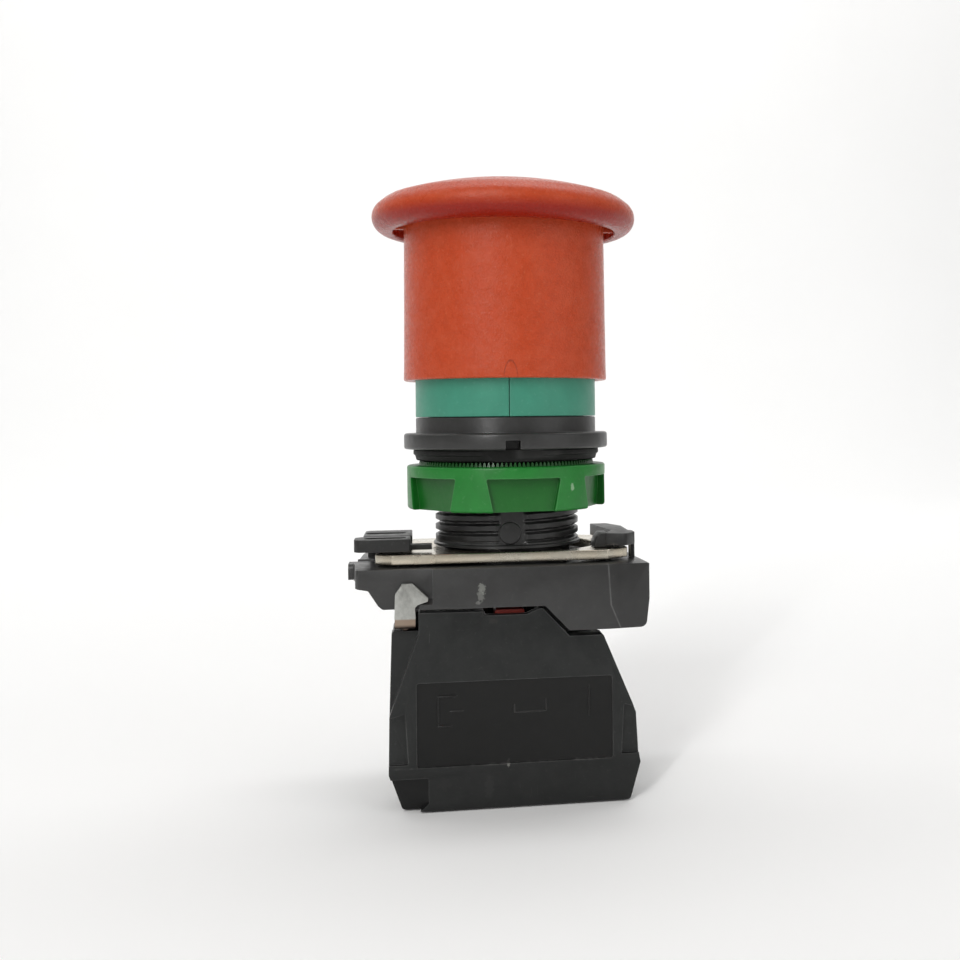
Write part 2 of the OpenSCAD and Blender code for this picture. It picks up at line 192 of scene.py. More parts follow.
def bake_mods(ob):
    dg = bpy.context.evaluated_depsgraph_get()
    dg.update()
    me = bpy.data.meshes.new_from_object(ob.evaluated_get(dg))
    ob.modifiers.clear()
    ob.data = me
    return ob


def boolean(ob, others, op="DIFFERENCE"):
    if not isinstance(others, (list, tuple)):
        others = [others]
    c = join(list(others)) if len(others) > 1 else others[0]
    m = ob.modifiers.new("b", "BOOLEAN")
    m.operation = op
    m.solver = "EXACT"
    m.object = c
    m.use_self = len(others) > 1
    bake_mods(ob)
    bpy.data.objects.remove(c)
    return ob


def cut(ob, *others):
    return boolean(ob, list(others), "DIFFERENCE")


def add(ob, *others):
    for o in others:
        boolean(ob, o, "UNION")
    return ob


def tidy(ob, dissolve=True):
    bm = bmesh.new()
    bm.from_mesh(ob.data)
    bmesh.ops.remove_doubles(bm, verts=bm.verts, dist=0.003)
    if dissolve:
        bmesh.ops.dissolve_limit(bm, angle_limit=rad(0.4), verts=bm.verts, edges=bm.edges)
    bmesh.ops.recalc_face_normals(bm, faces=bm.faces)
    bm.to_mesh(ob.data)
    bm.free()
    return ob


def bevel(ob, width=0.15, seg=2, ang=32):
    tidy(ob)
    m = ob.modifiers.new("bev", "BEVEL")
    m.width = width
    m.segments = seg
    m.limit_method = "ANGLE"
    m.angle_limit = rad(ang)
    m.use_clamp_overlap = True
    m.harden_normals = False
    m.profile = 0.6
    return bake_mods(ob)


PIECES = []


def piece(ob, name, body, mat, nodes=(), sharp=38):
    """Scales a finished mm mesh to metres and puts it into the frame."""
    ob.data.transform(Matrix.Scale(MM, 4))
    ob.name = name
    ob.data.name = name
    ob.data.materials.clear()
    ob.data.materials.append(mat)
    ob.data.shade_smooth()
    ob.data.set_sharp_from_angle(angle=rad(sharp))
    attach(ob, body)
    if nodes:
        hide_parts(*nodes)
    PIECES.append(ob)
    return ob


# ------------------------------------------------------------------ materials


class G:
    """Small helper round a principled material."""

    def __init__(s, name):
        s.m = bpy.data.materials.new(name)
        s.m.use_nodes = True
        s.t = s.m.node_tree
        s.t.nodes.clear()
        s.out = s.t.nodes.new("ShaderNodeOutputMaterial")
        s.b = s.t.nodes.new("ShaderNodeBsdfPrincipled")
        s.t.links.new(s.b.outputs[0], s.out.inputs[0])
        s.obj = s.t.nodes.new("ShaderNodeTexCoord").outputs["Object"]

    def n(s, kind, ins=None, **props):
        nd = s.t.nodes.new("ShaderNode" + kind)
        for k, v in props.items():
            setattr(nd, k, v)
        for k, v in (ins or {}).items():
            sock = nd.inputs[k]
            if isinstance(v, bpy.types.NodeSocket):
                s.t.links.new(v, sock)
            else:
                sock.default_value = v
        return nd

    def link(s, a, b):
        s.t.links.new(a, b)

    def math(s, op, a, b=0.0, c=0.0, clamp=False):
        return s.n("Math", {0: a, 1: b, 2: c}, operation=op, use_clamp=clamp).outputs[0]

    def ramp(s, v, lo, hi, a=0.0, b=1.0):
        return s.n("MapRange", {"Value": v, "From Min": lo, "From Max": hi, "To Min": a, "To Max": b}, clamp=True).outputs[0]

    def noise(s, scale, detail=3.0, rough=0.5, vec=None, dist=0.0):
        return s.n("TexNoise", {"Vector": vec or s.obj, "Scale": scale, "Detail": detail, "Roughness": rough, "Distortion": dist}).outputs[0]

    def mapped(s, scale, loc=(0, 0, 0), rot=(0, 0, 0)):
        return s.n("Mapping", {"Vector": s.obj, "Scale": scale, "Location": loc, "Rotation": rot}).outputs[0]

    def mix(s, f, a, b, kind="MIX"):
        nd = s.t.nodes.new("ShaderNodeMix")
        nd.data_type = "RGBA"
        nd.blend_type = kind
        for sock, v in ((nd.inputs[0], f), (nd.inputs[6], a), (nd.inputs[7], b)):
            if isinstance(v, bpy.types.NodeSocket):
                s.t.links.new(v, sock)
            else:
                sock.default_value = v if not isinstance(v, tuple) else (tuple(v) + (1.0,))[:4]
        return nd.outputs[2]

    def edge(s, radius=0.00022, gain=5.0):
        """Mask that is 1 along convex and concave edges."""
        bev = s.n("Bevel", {"Radius": radius}, samples=6).outputs[0]
        geo = s.n("NewGeometry").outputs["Normal"]
        dot = s.n("VectorMath", {0: bev, 1: geo}, operation="DOT_PRODUCT").outputs["Value"]
        return s.math("MULTIPLY", s.math("SUBTRACT", 1.0, dot), gain, clamp=True)

    def spot(s, centre, size, soft=0.35, rough_scale=900.0):
        """1 inside an ellipsoid round centre (mm), broken up by noise."""
        mp = s.n("Mapping", {"Vector": s.obj, "Location": tuple(-c / z for c, z in zip(centre, size)), "Scale": tuple(1000.0 / z for z in size)}).outputs[0]
        ln = s.n("VectorMath", {0: mp}, operation="LENGTH").outputs["Value"]
        nz = s.noise(rough_scale * 2.2, 4.0, 0.75)
        d = s.math("ADD", ln, s.math("MULTIPLY", s.math("SUBTRACT", nz, 0.5), 2.6))
        return s.ramp(d, 1.0, 1.0 - soft)


def plastic(name, base, rough=0.42, light=None, edge_amt=0.35, mottle=0.10, grain=2600.0, grain_d=0.000012,
            grain_s=0.35, spec=0.5, marks=(), streaks=0.25, edge_r=0.00022, tint=None, coat=0.0, extra=None, mottle_s=330.0, fleck=0.14, pore=0.55, speck_amt=0.10):
    g = G(name)
    light = light or tuple(min(1.0, c * 1.9 + 0.03) for c in base)
    big = g.noise(mottle_s, 4.0, 0.6)
    mid = g.noise(900.0, 3.0, 0.6)
    col = g.mix(g.ramp(big, 0.35, 0.65), tuple(c * (1 - mottle) for c in base), tuple(min(1, c * (1 + mottle)) for c in base))
    if tint:
        col = g.mix(g.math("MULTIPLY", g.ramp(g.noise(420.0, 3.0), 0.42, 0.66), 0.6), col, tint)
    speck = g.ramp(g.noise(grain * 0.9, 2.0, 0.5), 0.62, 0.75)
    col = g.mix(g.math("MULTIPLY", speck, speck_amt), col, light)
    dark = g.ramp(g.noise(grain * 0.45, 2.0, 0.5, dist=0.2), 0.36, 0.22)
    col = g.mix(g.math("MULTIPLY", dark, fleck), col, tuple(c * 0.7 for c in base))
    # rubbed edges
    e = g.edge(edge_r, 9.0)
    e = g.math("MULTIPLY", e, g.ramp(g.noise(420.0, 3.0, 0.6), 0.30, 0.62, 0.35, 1.0))
    col = g.mix(g.math("MULTIPLY", e, edge_amt), col, light)
    # fine handling scratches
    sc = g.noise(1.0, 2.0, 0.5, vec=g.mapped((220, 220, 5200), rot=(0.3, 0.5, 0.2)))
    sc2 = g.noise(1.0, 2.0, 0.5, vec=g.mapped((5200, 260, 240), rot=(0.1, 0.9, 0.4)))
    scr = g.math("MAXIMUM", g.ramp(sc, 0.70, 0.76), g.ramp(sc2, 0.71, 0.77))
    scr = g.math("MULTIPLY", scr, g.ramp(g.noise(90.0, 2.0), 0.5, 0.68))
    col = g.mix(g.math("MULTIPLY", scr, streaks), col, light)
    for centre, size, colour, amt in marks:
        col = g.mix(g.math("MULTIPLY", g.spot(centre, size), amt), col, colour)
    if extra:
        col = extra(g, col)
    g.link(col, g.b.inputs["Base Color"])
    r = g.ramp(mid, 0.3, 0.7, rough - 0.05, rough + 0.06)
    r = g.math("SUBTRACT", r, g.math("MULTIPLY", e, 0.08), clamp=True)
    g.link(r, g.b.inputs["Roughness"])
    g.b.inputs["Specular IOR Level"].default_value = spec
    if coat:
        g.b.inputs["Coat Weight"].default_value = coat
        g.b.inputs["Coat Roughness"].default_value = 0.35
    hgt = g.math("ADD", g.math("MULTIPLY", g.noise(grain, 3.0, 0.65), 1.0), g.math("MULTIPLY", g.noise(grain * 0.28, 2.0, 0.5), pore))
    hgt = g.math("SUBTRACT", hgt, g.math("MULTIPLY", scr, 0.5))
    bmp = g.n("Bump", {"Height": hgt, "Distance": grain_d, "Strength": grain_s})
    g.link(bmp.outputs[0], g.b.inputs["Normal"])
    return g.m


def metal(name, base, rough=0.3, brush=(300, 300, 9000), tone=0.12, dirt=(0.25, 0.2, 0.15), dirt_amt=0.25, bump=0.12, aniso=0.0, warm=None, extra=None):
    g = G(name)
    br = g.noise(1.0, 4.0, 0.6, vec=g.mapped(brush))
    big = g.noise(260.0, 3.0, 0.6)
    col = g.mix(g.ramp(br, 0.3, 0.7), tuple(c * (1 - tone) for c in base), tuple(min(1, c * (1 + tone)) for c in base))
    if warm:
        col = g.mix(g.ramp(g.noise(150.0, 2.0), 0.4, 0.65, 0.0, 0.6), col, warm)
    col = g.mix(g.math("MULTIPLY", g.ramp(big, 0.55, 0.75), dirt_amt), col, dirt)
    if extra:
        col = extra(g, col)
    g.link(col, g.b.inputs["Base Color"])
    g.b.inputs["Metallic"].default_value = 1.0
    r = g.math("ADD", g.ramp(br, 0.25, 0.75, rough - 0.06, rough + 0.08), g.math("MULTIPLY", g.ramp(big, 0.5, 0.75), 0.12))
    g.link(r, g.b.inputs["Roughness"])
    if aniso:
        g.b.inputs["Anisotropic"].default_value = aniso
    h = g.math("ADD", br, g.math("MULTIPLY", g.noise(3500.0, 2.0), 0.5))
    g.link(g.n("Bump", {"Height": h, "Distance": 0.000008, "Strength": bump}).outputs[0], g.b.inputs["Normal"])
    return g.m


def knit_line_and_lip_shade(g, col):
    """Faint arched knit line low on the front of the skirt, and painted shade: a deeper, darker red on the underside
    of the rim.
    """
    sep = g.n("SeparateXYZ", {0: g.obj})
    x, y, z = sep.outputs
    dx = g.math("DIVIDE", g.math("ADD", x, 0.00035), 0.00098)
    dz = g.math("DIVIDE", g.math("SUBTRACT", z, 0.0119), 0.0026)
    d = g.math("SQRT", g.math("ADD", g.math("MULTIPLY", dx, dx), g.math("MULTIPLY", dz, dz)))
    line = g.ramp(g.math("ABSOLUTE", g.math("SUBTRACT", d, 1.0)), 0.09, 0.02)
    line = g.math("MULTIPLY", line, g.ramp(z, 0.0118, 0.0126))
    line = g.math("MULTIPLY", line, g.ramp(y, 0.0, -0.002))
    r = g.math("SQRT", g.math("ADD", g.math("MULTIPLY", x, x), g.math("MULTIPLY", y, y)))
    # painted shade: the underside of the rim lip is darkened toward deep red
    under = g.math("MULTIPLY", g.ramp(r, 0.0168, 0.0174), g.ramp(z, 0.0374, 0.0359))
    col = g.mix(g.math("MULTIPLY", under, 0.88), col, (0.262, 0.006, 0.002))
    return g.mix(g.math("MULTIPLY", line, 0.62), col, (0.20, 0.025, 0.012))


def crease_highlight_and_facet_shade(g, col):
    """Painted highlight as a light line along the crease on the right of the collar's front, and painted shade on the
    facet right of the crease.
    """
    x, y, z = g.n("SeparateXYZ", {0: g.obj}).outputs
    upper = g.ramp(z, -0.01500, -0.02085, 0.01350, 0.01386)
    lower = g.ramp(z, -0.02085, -0.02410, 0.0, 0.00134)
    d = g.math("ABSOLUTE", g.math("SUBTRACT", x, g.math("ADD", upper, lower)))
    # mask of a painted highlight line along the crease edge
    line = g.math("MULTIPLY", g.ramp(d, 0.00016, 0.00004), g.ramp(y, -0.0140, -0.0148))
    line = g.math("MULTIPLY", line, g.ramp(g.noise(500.0, 3.0), 0.30, 0.6, 0.35, 1.0))
    # painted shade: the facet right of the crease is darkened
    col = g.mix(g.math("MULTIPLY", g.ramp(x, 0.0138, 0.0150), 0.42), col, (0.014, 0.014, 0.014))
    return g.mix(g.math("MULTIPLY", line, 0.5), col, (0.17, 0.17, 0.168))


def label_tone_pit_shade_ledge_highlight(g, col):
    """The label recess is smoother and darker than the face round it; the foot of the face is a little darker too. The
    hollow at the lower left is darkened with painted shade, and a painted highlight lines the lit bottom edge of the
    label recess.
    """
    x, y, z = g.n("SeparateXYZ", {0: g.obj}).outputs
    floor = g.math("MULTIPLY", g.ramp(y, -0.01488, -0.01480), g.ramp(y, -0.01462, -0.01468))
    floor = g.math("MULTIPLY", floor, g.ramp(z, -0.0433, -0.0430))
    col = g.mix(g.math("MULTIPLY", floor, 0.85), col, (0.0030, 0.0030, 0.0027))
    # painted shade: the hollow at the lower left of the face is darkened
    pit_shade = g.math("MULTIPLY", g.ramp(x, -0.0123, -0.0127), g.math("MULTIPLY", g.ramp(z, -0.0442, -0.0446), g.ramp(y, -0.0142, -0.0138)))
    pit_shade = g.math("MULTIPLY", pit_shade, g.ramp(y, -0.0128, -0.0132))
    col = g.mix(g.math("MULTIPLY", pit_shade, 0.85), col, (0.003, 0.003, 0.003))
    foot = g.ramp(z, -0.0415, -0.0440)
    col = g.mix(g.math("MULTIPLY", foot, 0.35), col, (0.006, 0.006, 0.006))
    # painted highlight: a light line along the bottom edge of the label recess
    ledge_highlight = g.math("MULTIPLY", g.ramp(g.math("ABSOLUTE", g.math("ADD", z, 0.0429)), 0.00022, 0.00006), g.ramp(y, -0.0142, -0.0149))
    ledge_highlight = g.math("MULTIPLY", ledge_highlight, g.ramp(g.noise(420.0, 4.0, 0.7), 0.46, 0.66))
    return g.mix(g.math("MULTIPLY", ledge_highlight, 0.45), col, (0.10, 0.10, 0.097))


def bend_reflection_and_shade(g, col):
    """Painted reflection: a warm, darker tone on the bend where the hook rolls under at its foot; painted shade
    darkens the foot below the bend.
    """
    x, y, z = g.n("SeparateXYZ", {0: g.obj}).outputs
    bend_reflection_mask = g.math("MULTIPLY", g.ramp(z, -0.02175, -0.02195), g.ramp(y, -0.0128, -0.0135))
    col = g.mix(g.math("MULTIPLY", bend_reflection_mask, 0.8), col, (0.30, 0.205, 0.14))
    # painted shade: the foot below the bend is darkened
    low = g.ramp(z, -0.0226, -0.0231)
    return g.mix(g.math("MULTIPLY", low, 0.8), col, (0.05, 0.035, 0.03))


def notch_shade(g, col):
    """Painted shade darkening the keying notch of the bezel."""
    x, y, z = g.n("SeparateXYZ", {0: g.obj}).outputs
    m = g.math("MULTIPLY", g.ramp(g.math("ABSOLUTE", g.math("ADD", x, 0.000125)), 0.00120, 0.00112), g.ramp(z, 0.00318, 0.00306))
    m = g.math("MULTIPLY", m, g.math("MULTIPLY", g.ramp(y, -0.01550, -0.01535), g.ramp(y, -0.0116, -0.0120)))
    # painted shade: the notch floor is darkened nearly to black
    return g.mix(g.math("MULTIPLY", m, 0.93), col, (0.0015, 0.0015, 0.0015))


RED = plastic("red_moulded", (0.500, 0.062, 0.018), rough=0.27, light=(0.74, 0.27, 0.15), edge_amt=0.35, mottle=0.05, speck_amt=0.20,
              grain=3300.0, grain_d=0.00011, grain_s=0.75, streaks=0.06, spec=0.25, fleck=0.16, pore=0.35, tint=(0.53, 0.080, 0.030), extra=knit_line_and_lip_shade, mottle_s=900.0)
TEAL = plastic("teal_moulded", (0.040, 0.262, 0.172), rough=0.40, light=(0.25, 0.55, 0.45), edge_amt=0.2, mottle=0.05, grain=2000.0, grain_d=0.00002, streaks=0.12)
BEZEL = plastic("charcoal_moulded", (0.0295, 0.0295, 0.029), rough=0.36, edge_amt=0.5, mottle=0.10, grain=1800.0, grain_d=0.000045, streaks=0.3, extra=notch_shade)
NECK = plastic("neck_moulded", (0.0165, 0.0165, 0.0163), rough=0.33, light=(0.16, 0.16, 0.158), edge_amt=0.4, mottle=0.10, grain=1800.0, grain_d=0.00003, streaks=0.2, spec=0.45)
def gasket_flat(g, col):
    """The flat on the front right of the gasket is lighter grey."""
    x, y, z = g.n("SeparateXYZ", {0: g.obj}).outputs
    m = g.math("MULTIPLY", g.ramp(x, 0.0002, 0.0008), g.ramp(y, -0.0120, -0.0126))
    m = g.math("MULTIPLY", m, g.ramp(z, 0.0003, 0.0006))
    return g.mix(g.math("MULTIPLY", m, 0.7), col, (0.036, 0.036, 0.0355))


GASKET = plastic("black_gasket", (0.010, 0.010, 0.0095), rough=0.62, edge_amt=0.25, mottle=0.12, grain=1900.0, grain_d=0.00003, extra=gasket_flat, spec=0.25, streaks=0.1)
def recess_shade_and_top_ring(g, col):
    """Painted shade deepens the tone of the grip recesses against the lobes; the serrated top ring is darker too."""
    x, y, z = g.n("SeparateXYZ", {0: g.obj}).outputs
    r = g.math("SQRT", g.math("ADD", g.math("MULTIPLY", x, x), g.math("MULTIPLY", y, y)))
    m = g.math("MULTIPLY", g.ramp(r, 0.01500, 0.01475), g.ramp(z, -0.0023, -0.0025))
    # painted shade: the recess floors are darkened
    col = g.mix(g.math("MULTIPLY", m, 0.62), col, (0.002, 0.088, 0.004))
    # the serrated top ring is darkened
    return g.mix(g.math("MULTIPLY", g.ramp(z, -0.00078, -0.00068), 0.82), col, (0.006, 0.070, 0.010))


GREEN = plastic("green_moulded", (0.011, 0.187, 0.024), rough=0.37, spec=0.42, light=(0.22, 0.52, 0.24), edge_amt=0.34, mottle=0.09, grain=1800.0, grain_d=0.00005, extra=recess_shade_and_top_ring,
                streaks=0.15, marks=[((8.7, -12.4, -3.9), (0.30, 3.0, 0.65), (0.42, 0.60, 0.40), 0.55)])
COLLAR = plastic("collar_moulded", (0.030, 0.030, 0.0296), rough=0.36, edge_amt=0.5, mottle=0.10, grain=1900.0, grain_d=0.00004, streaks=0.3, extra=crease_highlight_and_facet_shade,
                 marks=[((-4.65, -15.0, -17.9), (0.55, 1.0, 0.85), (0.24, 0.25, 0.225), 0.6), ((-4.85, -15.0, -18.9), (0.62, 1.0, 1.0), (0.20, 0.205, 0.19), 0.55), ((-5.3, -15.0, -19.9), (0.35, 1.0, 0.3), (0.20, 0.205, 0.19), 0.5)])
LUG = plastic("lug_moulded", (0.0215, 0.0215, 0.0212), rough=0.42, spec=0.36, light=(0.15, 0.15, 0.148), edge_amt=0.5, mottle=0.12, grain=1900.0, grain_d=0.00005, streaks=0.3)
BLOCK = plastic("block_moulded", (0.0162, 0.0174, 0.0170), rough=0.36, spec=0.30, light=(0.13, 0.13, 0.128), edge_amt=0.55, mottle=0.16, grain=2000.0, grain_d=0.00002, streaks=0.4, extra=label_tone_pit_shade_ledge_highlight,
                marks=[((-1.15, -15.0, -42.75), (0.26, 0.8, 0.55), (0.24, 0.24, 0.22), 0.8), ((8.5, -15.0, -42.8), (0.35, 0.8, 0.16), (0.16, 0.16, 0.15), 0.6),
                       ((-3.9, -15.0, -46.0), (0.75, 0.8, 1.9), (0.034, 0.035, 0.035), 0.5), ((-10.2, -15.0, -45.4), (1.0, 0.8, 1.0), (0.027, 0.027, 0.027), 0.5),
                       ((-3.0, -15.0, -22.6), (0.8, 0.8, 0.5), (0.035, 0.033, 0.03), 0.5)])
SYMBOL = plastic("symbol_moulded", (0.0085, 0.0085, 0.0083), rough=0.38, spec=0.36, light=(0.10, 0.10, 0.097), edge_amt=0.45, mottle=0.15, grain=2000.0, grain_d=0.00002)
PLUNGER = plastic("plunger_moulded", (0.50, 0.058, 0.042), rough=0.38, edge_amt=0.25, mottle=0.06)
NYLON = plastic("natural_nylon", (0.66, 0.63, 0.55), rough=0.38, edge_amt=0.2, mottle=0.05, light=(0.85, 0.84, 0.8))
RUBBER = plastic("seal_rubber", (0.02, 0.02, 0.02), rough=0.6, edge_amt=0.2, grain=1500.0, spec=0.35)
NICKEL = metal("nickel_plate", (0.60, 0.56, 0.47), rough=0.22, brush=(120, 900, 1300), tone=0.035, dirt=(0.44, 0.39, 0.30), dirt_amt=0.12, bump=0.006, warm=(0.58, 0.50, 0.38))
ZINC = metal("zinc_plate", (0.45, 0.455, 0.43), rough=0.34, brush=(2400, 2400, 1700), tone=0.12, dirt=(0.34, 0.33, 0.30), dirt_amt=0.3, bump=0.22)
HOOK = metal("zinc_plate_hook", (0.45, 0.455, 0.43), rough=0.34, brush=(2400, 2400, 1700), tone=0.12, dirt=(0.34, 0.33, 0.30), dirt_amt=0.3, bump=0.22, extra=bend_reflection_and_shade)
SPRING = metal("spring_wire", (0.50, 0.49, 0.47), rough=0.28, brush=(1500, 1500, 1500), tone=0.10, dirt_amt=0.2)
BRASS = metal("brass_strip", (0.72, 0.50, 0.20), rough=0.27, brush=(600, 600, 6000), tone=0.1, dirt=(0.4, 0.25, 0.1), dirt_amt=0.3)
COPPER = metal("copper_strip", (0.72, 0.40, 0.22), rough=0.28, brush=(600, 600, 6000), tone=0.1, dirt=(0.35, 0.18, 0.1), dirt_amt=0.3)
SILVER = metal("silver_tip", (0.78, 0.77, 0.74), rough=0.22, brush=(2500, 2500, 2500), tone=0.06, dirt_amt=0.12)

# ------------------------------------------------------------------ operator head
R = 20.15


def arc(cx, cy, r, a0, a1, n):
    return [(cx + r * math.cos(rad(a0 + (a1 - a0) * i / n)), cy + r * math.sin(rad(a0 + (a1 - a0) * i / n))) for i in range(n + 1)]


crown = [(17 * (1 - i / 12), 40.04 + math.sqrt(56.9 ** 2 - (17 * (1 - i / 12)) ** 2) - 54.3) for i in range(13)]
cap_pts = ([(0, 38.4), (4, 38.4), (4, 30.1), (4.2, 30.0), (9.4, 30.0), (9.6, 30.2), (9.6, 36.7), (9.9, 37.0), (13.8, 37.0), (14.1, 36.7), (14.1, 12.35)]
           + arc(14.35, 12.31, 0.25, 180, 270, 4) + arc(15.25, 12.36, 0.30, 270, 360, 5)
           + [(15.5, 14.0), (15.42, 22.0), (15.33, 34.6), (15.36, 35.5), (15.55, 36.3), (15.95, 36.9), (16.45, 37.05), (16.85, 36.85), (17.0, 36.3), (17.02, 35.5)]
           + arc(17.42, 34.98, 0.40, 175, 250, 4) + arc(17.8, 36.95, 2.35, -100, 44, 22)
           + [(18.95, 39.02), (18.45, 39.42), (17.85, 39.76)] + crown)
cap = lathe(cap_pts, 256, name="cap")
ribs = []
for i in range(12):
    b = rbox((15.1, -0.45, 35.25), (17.5, 0.45, 37.3), 0.12, "x", "rib")
    ribs.append(turn(b, 30 * i, "Z"))
cap = join([cap] + ribs)
piece(cap, "mushroom_head", "button", RED, ["mushroom_cap"], sharp=50)

for s, nm in ((-1, "left"), (1, "right")):
    prof = fillet([(12.0, 6.55, 0.1), (13.8, 6.55, 0.12), (13.8, 21.95, 0.3), (12.0, 21.95, 0.2)], 0.1, 3)
    lo, hi = (-1.75, 177.8) if s > 0 else (178.2, 357.8)
    h = lathe(prof, 96, lo, hi, name="half")
    bevel(h, 0.07, 2, 40)
    piece(h, "indicator_sleeve_" + nm, "operator", TEAL, ["indicator_ring_" + nm])

# bezel and inner guide, above the neck
bez = fillet([(11.9, 21.95, .2), (11.9, 6.51, 0), (13.3, 6.51, 0), (13.3, 6.45, 0), (13.78, 6.45, .2), (13.78, 4.12, .14), (15.6, 4.12, .42), (15.6, 1.72, .38), (14.2, 1.72, .1), (10.9, 1.72, 0),
              (10.9, 0.4, 0), (8.6, 0.4, 0), (8.6, -4.7, .1), (4.15, -4.7, .2), (4.15, 8.98, .2), (6.4, 8.98, .3), (6.4, -3.2, .3), (9.6, -3.2, .3), (9.6, 21.95, .2)], 0, 4)
bezel = lathe(bez, 192, name="bezel")
cut(bezel, rbox((-1.2, -16.2, 1.0), (0.95, -12.3, 3.1), 0.12, "y"))
tidy(bezel, False)
piece(bezel, "bezel_flange", "operator", BEZEL, ["head_body"])


def neck_r(r, z, a):
    """Helical thread with a smooth channel down the front."""
    if r < 10.2 or z > -0.85 or z < -12.25:
        if r >= 10.2 and z > -12.9 and z < -0.1:
            return r
        return r
    ph = (z / 1.5 - a / (2 * math.pi)) % 1.0
    t = abs(ph - 0.5) * 2.0
    d = 0.62 * max(0.0, min(1.0, (t - 0.46) / 0.42)) ** 1.1
    fade = max(0.0, min(1.0, (z + 12.1) / 0.5)) if z < -11.6 else 1.0
    d *= fade
    x = math.sin(a) * r
    if math.cos(a) > 0 and abs(x) < 2.35:
        w = max(0.0, min(1.0, (2.15 - abs(x)) / 0.25))
        flat = 10.38 / math.cos(a)
        return (r - d) * (1 - w) + min(r, flat) * w
    return r - d


zz = [-0.85 - 0.075 * i for i in range(int((12.25 - 0.85) / 0.075) + 1)]
neck_pts = ([(8.62, 0.35), (10.9, 0.35), (10.93, -0.3), (10.93, -0.8)] + [(10.95, z) for z in zz]
            + [(11.02, -12.3), (11.22, -12.45), (11.25, -12.75), (11.1, -12.82), (9.6, -12.84), (9.6, -14.74), (10.95, -14.78), (10.95, -18.1), (10.6, -18.48), (8.9, -18.5), (8.62, -18.3)])
neck = lathe(neck_pts, 300, fn=neck_r, name="neck")
boss = lathe(fillet([(0, -0.25), (0, 0.42), (1.48, 0.42, .14), (1.68, 0.27, .1), (1.68, -0.25)], 0, 4)[0:], 48, name="boss")
boss.data.transform(Matrix.Translation((-0.3, -10.33, -10.55)) @ Matrix.Rotation(rad(90), 4, "X"))
neck = join([neck, boss])
piece(neck, "threaded_neck", "operator", NECK, [], sharp=42)


def gasket_r(r, z, a):
    if r > 12 and math.cos(a) > 0.5:
        return min(r, 13.42 / math.cos(a))
    return r


gasket = lathe(fillet([(10.98, 0.02, .1), (13.75, 0.02, .2), (13.95, 0.75, .15), (14.2, 0.95, .1), (14.2, 1.68, .2), (10.98, 1.68, .1)], 0.1, 4), 240, fn=gasket_r, name="gasket")
piece(gasket, "gasket_ring", "operator", GASKET, ["panel_gasket"])

# ------------------------------------------------------------------ fixing nut
nut = lathe(fillet([(11.08, -7.28, .25), (15.15, -7.28, .45), (15.2, -0.72, .38), (11.6, -0.72, .2), (11.08, -1.2, .1)], 0.2, 4), 180, name="nut")
cutters = []
for i in range(6):
    c = prism(fillet([(-5.45, -2.42, .25), (5.45, -2.42, .25), (4.25, -8.5, 0), (-4.25, -8.5, 0)], 0, 4), -18, -13.15, "y")
    cutters.append(turn(c, 6 + 60 * i))
cut(nut, *cutters)
bevel(nut, 0.16, 3, 34)
piece(nut, "fixing_nut_body", "nut", GREEN, ["fixing_nut"])
teeth_v, teeth_f = [], []
NT = 132
for i in range(NT):
    a0, am, a1 = [2 * math.pi * (i + t) / NT for t in (0.12, 0.5, 0.88)]
    b = len(teeth_v)
    for a, z in ((a0, -0.78), (am - 0.007, -0.14), (am + 0.007, -0.14), (a1, -0.78)):
        for r in (12.0, 13.45 if z < -0.7 else 13.3):
            teeth_v.append((r * math.sin(a), -r * math.cos(a), z))
    teeth_f += [[b, b + 1, b + 3, b + 2], [b + 2, b + 3, b + 5, b + 4], [b + 4, b + 5, b + 7, b + 6], [b + 6, b + 7, b + 1, b], [b, b + 2, b + 4, b + 6], [b + 1, b + 7, b + 5, b + 3]]
teeth = mesh_obj("teeth", teeth_v, teeth_f)
piece(teeth, "nut_serrations", "nut", GREEN, [])

# ------------------------------------------------------------------ fixing collar
front = fillet([(-24, -15, 0), (20.3, -15, .9), (19.15, -24.3, .9), (7.8, -24.3, .35), (4.3, -20.65, .5), (-18.6, -20.6, .5), (-19.2, -20.1, .3), (-20.6, -17.9, .4), (-24, -17.3, .2)], 0, 4)
plan = fillet([(-19.6, -15, .3), (19.2, -15, .3), (19.7, -14.2, .8), (18.9, -3.6, 2), (18.9, 3.6, 2), (19.5, 14.4, .3), (18.9, 15, .3), (-19.6, 15, .3), (-21.6, 13, .8),
               (-22.2, 6.8, .6), (-22.4, 1.1, .5), (-23.2, -0.8, .5), (-23.2, -3.8, .6), (-22.7, -6.7, .6), (-22.4, -13.4, .9), (-21.2, -14.7, .9)], 0, 4)
col = prism(front, -16, 16, "y")
boolean(col, prism(plan, -26, -14, "z"), "INTERSECT")
cut(col, cyl((0, 0, -19.0), 11.3, 6, "z", 128))
cs = []
for y in (-9.8, 0, 9.8):
    cs.append(rbox((-3.4, y - 3.6, -22), (2.3, y + (4.4 if y < 0 else 3.6), -18), 0.4, "z"))
    cs.append(rbox((11, y - 3.9, -26), (17, y + 3.9, -20.8), 0.6, "z"))
for y in (-10, 0, 10):
    cs.append(rbox((-13.2, y - 4.8, -22), (3.6, y + 4.8, -20.4), 0.5, "z"))
for y in (0, 10):
    cs.append(rbox((-19.8, y - 2.8, -22), (-14.2, y + 2.8, -19.4), 0.4, "z"))
cs.append(box((12.2, -6, -15.6), (16.8, 6, -13)))
cs.append(rbox((-24.5, -4.4, -17.9), (-12.2, 0.4, -13), 0.2, "x"))
for c in cs:
    cut(col, c)
rec = prism(fillet([(-26, -13.5), (-11.6, -13.5, 0), (-11.6, -19.15, 0), (-13.45, -19.3, 0), (-13.45, -22, 0), (-26, -22, 0)], 0), -16, -13.9, "y")
cut(col, rec)
